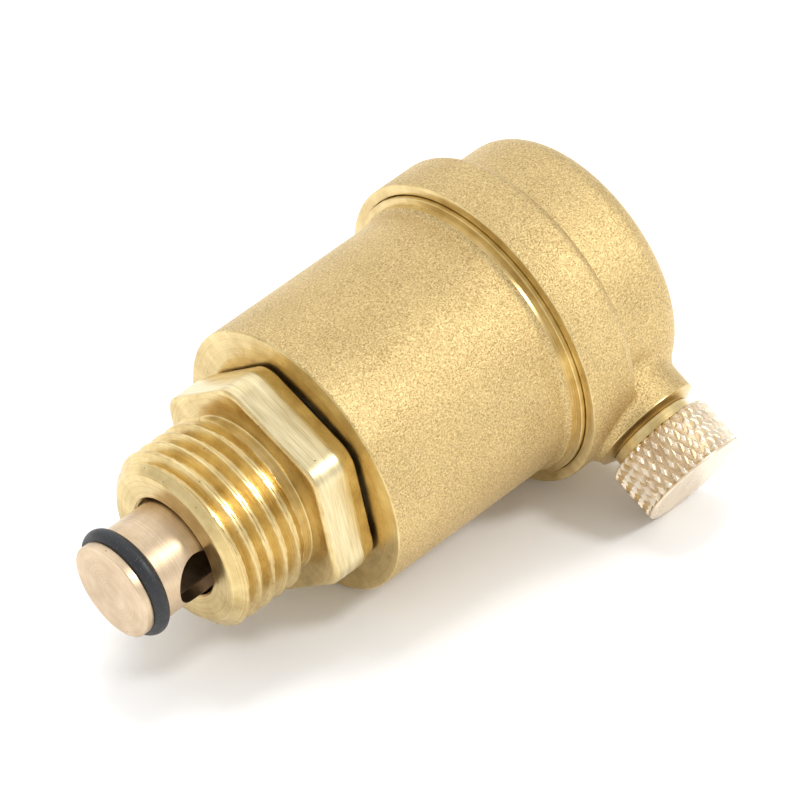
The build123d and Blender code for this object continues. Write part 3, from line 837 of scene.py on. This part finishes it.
# Pieces shown as the part has them
NODE_MATERIALS = {
    "joint_gasket": black_rubber,
    "cap_o_ring": black_rubber,
    "outlet_fitting_o_ring": black_rubber,
    "knob_seal": black_rubber,
    "valve_pad": black_rubber,
    "plunger_spring": spring_steel,
    "plunger_retaining_ring": spring_steel,
    "lever": spring_steel,
    "lever_pin": spring_steel,
    "lever_pin_clips": spring_steel,
    "lever_bracket": spring_steel,
    "bracket_screws": spring_steel,
    "float_shell": float_plastic,
    "float_lid": float_plastic,
}
for node, material in NODE_MATERIALS.items():
    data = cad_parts[node].data
    data.materials.clear()
    data.materials.append(material)


# ---------------------------------------------------------------- camera, floor and light

# The vent stands upright in its frame. The camera sees it as it lies on a white table.
VIEW_FROM = Vector((0.114866, -0.532739, -0.252649))
VIEW_RIGHT = Vector((0.64654, -0.24110, 0.72378))
VIEW_UP = Vector((-0.73994, -0.42908, 0.51805))
VIEW_BACK = VIEW_RIGHT.cross(VIEW_UP).normalized()
LENS = 258.1

camera = bpy.data.objects.new("camera", bpy.data.cameras.new("camera"))
bpy.context.scene.collection.objects.link(camera)
camera.data.sensor_width = 36.0
camera.data.lens = LENS
camera.data.clip_start = 0.05
camera.data.clip_end = 20.0
axes = Matrix((VIEW_RIGHT, VIEW_UP, VIEW_BACK)).transposed().to_4x4()
camera.matrix_world = Matrix.Translation(VIEW_FROM) @ axes
bpy.context.scene.camera = camera

# The table touches the chamber's bottom edge, the cap's band and the knob.
FLOOR_NORMAL = Vector((-0.5115, -0.8536, 0.0988)).normalized()
FLOOR_DISTANCE = -0.01482
FLOOR_SIZE = 6.0


def floor_material():
    """White table, seen through from behind so that it hides nothing from the other views."""
    s = Shader("table", Roughness=0.9)
    s.set(s.main, {"Base Color": (0.92, 0.92, 0.92, 1), "Specular IOR Level": 0.1})
    clear = s.add("ShaderNodeBsdfTransparent")
    side = s.add("ShaderNodeNewGeometry").outputs["Backfacing"]
    mix = s.add("ShaderNodeMixShader")
    s.set(mix, {0: side, 1: s.main.outputs[0], 2: clear.outputs[0]})
    s.tree.links.new(mix.outputs[0], s.tree.nodes["Material Output"].inputs["Surface"])
    return s.material


floor_data = bpy.data.meshes.new("table")
half = FLOOR_SIZE / 2
corners = [(-half, -half, 0), (half, -half, 0), (half, half, 0), (-half, half, 0)]
floor_data.from_pydata(corners, [], [(0, 1, 2, 3)])
floor = bpy.data.objects.new("table", floor_data)
bpy.context.scene.collection.objects.link(floor)
tilt = FLOOR_NORMAL.to_track_quat("Z", "Y").to_matrix().to_4x4()
floor.matrix_world = Matrix.Translation(FLOOR_NORMAL * FLOOR_DISTANCE) @ tilt
floor_data.materials.append(floor_material())

# Point in the vent that the lamps are aimed at
CENTRE = Vector((0.004, 0.0, 0.024))


def soft_box(name, right, up, back, distance, size, power, mirrored=True):
    """A square lamp placed by its direction as the camera sees it, aimed at the vent."""
    lamp = bpy.data.lights.new(name, "AREA")
    lamp.shape = "SQUARE"
    lamp.size = size
    lamp.energy = power
    direction = (VIEW_RIGHT * right + VIEW_UP * up + VIEW_BACK * back).normalized()
    obj = bpy.data.objects.new(name, lamp)
    bpy.context.scene.collection.objects.link(obj)
    obj.location = CENTRE + direction * distance
    obj.rotation_euler = (-direction).to_track_quat("-Z", "Y").to_euler()
    obj.visible_camera = False
    obj.visible_glossy = mirrored
    return obj


soft_box("key", 0.66, 0.47, 0.59, distance=0.7, size=0.12, power=1.7)
soft_box("panel", -0.3, 0.9, 0.0, distance=1.5, size=2.2, power=7.0)
soft_box("overhead", 0.0, 0.93, 0.36, distance=1.0, size=0.4, power=4.5, mirrored=False)

SKY_STRENGTH = 0.88
world = bpy.data.worlds.new("studio")
bpy.context.scene.world = world
world.use_nodes = True
sky = world.node_tree.nodes["Background"].inputs
sky["Color"].default_value = (1, 1, 1, 1)
sky["Strength"].default_value = SKY_STRENGTH

bpy.context.scene.view_settings.view_transform = "Standard"
bpy.context.scene.view_settings.look = "None"
